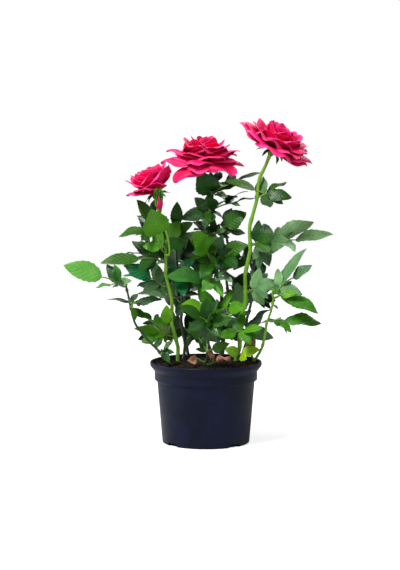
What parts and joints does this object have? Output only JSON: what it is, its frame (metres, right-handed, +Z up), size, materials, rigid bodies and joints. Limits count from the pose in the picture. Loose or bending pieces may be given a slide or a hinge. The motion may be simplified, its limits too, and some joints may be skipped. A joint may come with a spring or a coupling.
{
  "type": "potted rose bush",
  "caption": "Small rose bush with upright green canes, compound leaves, open pink blooms and a bud, in a round tapered plastic nursery pot.",
  "frame": {"origin": "centre of the pot's flat underside, where the plant stands", "axes": "+Z up along the pot's axis, +X to the right and -Y to the front, the side that shows the open blooms"},
  "size_m": [0.285, 0.1946, 0.3455],
  "materials": {
    "pot_plastic": "moulded satin plastic, faintly mottled",
    "soil": "moist crumbly compost",
    "cane": "smooth green bark with prickles",
    "petal": "velvety petals",
    "leaf_dark": "glossy deep green leaf",
    "leaf_teal": "glossy blue-green leaf",
    "leaf_mid": "satin mid green leaf",
    "leaf_light": "satin light green leaf",
    "leaf_sage": "matte grey-green leaf",
    "leaf_lime": "soft young leaf",
    "leaf_dry": "dry curled leaf"
  },
  "bodies": {
    "root": {"pot": "pot_plastic", "soil": "soil", "cane_right": "cane", "cane_middle": "cane", "cane_left": "cane", "cane_left_back": "cane", "cane_low_left": "cane", "cane_low_right": "cane", "cane_right_back": "cane", "cane_front": "cane", "cane_back_left": "cane", "cane_back_right": "cane", "bloom_right": "petal", "bloom_middle": "petal", "bloom_left": "petal", "bud": "petal", "far_left_leaves": "leaf_light", "far_right_leaves": "leaf_sage", "left_face_leaf": "leaf_mid", "upright_leaf": "leaf_mid", "right_pale_leaf": "leaf_sage", "upper_right_leaves": "leaf_dark", "rising_right_leaves": "leaf_sage", "hanging_right_leaves": "leaf_mid", "low_right_leaves": "leaf_mid", "left_reaching_leaves": "leaf_mid", "left_shoulder_leaves": "leaf_dark", "left_glossy_leaves": "leaf_teal", "low_left_tip_leaves": "leaf_dark", "low_left_leaves": "leaf_mid", "left_foot_leaves": "leaf_dark", "between_blooms_leaves": "leaf_dark", "left_centre_leaves": "leaf_teal", "under_bloom_leaves": "leaf_dark", "upper_middle_leaves": "leaf_dark", "middle_side_leaves": "leaf_dark", "broad_centre_leaves": "leaf_light", "middle_right_leaves": "leaf_dark", "centre_fan_leaves": "leaf_mid", "front_heart_leaves": "leaf_dark", "front_low_leaves": "leaf_dark", "right_teal_leaves": "leaf_dark", "right_heart_leaves": "leaf_sage", "right_olive_leaves": "leaf_mid", "lime_leaves": "leaf_lime", "dry_leaves_front": "leaf_dry", "dry_leaves_inner": "leaf_dry", "dry_leaf_right": "leaf_dry", "back_left_leaves_1": "leaf_dark", "back_left_leaves_2": "leaf_dark", "back_left_leaves_3": "leaf_dark", "back_right_leaves_1": "leaf_dark", "back_right_leaves_2": "leaf_dark", "back_right_leaves_3": "leaf_dark", "right_back_leaves_1": "leaf_dark", "right_back_leaves_2": "leaf_dark", "right_back_leaves_3": "leaf_dark", "left_back_leaves_1": "leaf_dark", "left_back_leaves_2": "leaf_dark", "left_back_leaves_3": "leaf_dark"}
  },
  "joints": []
}
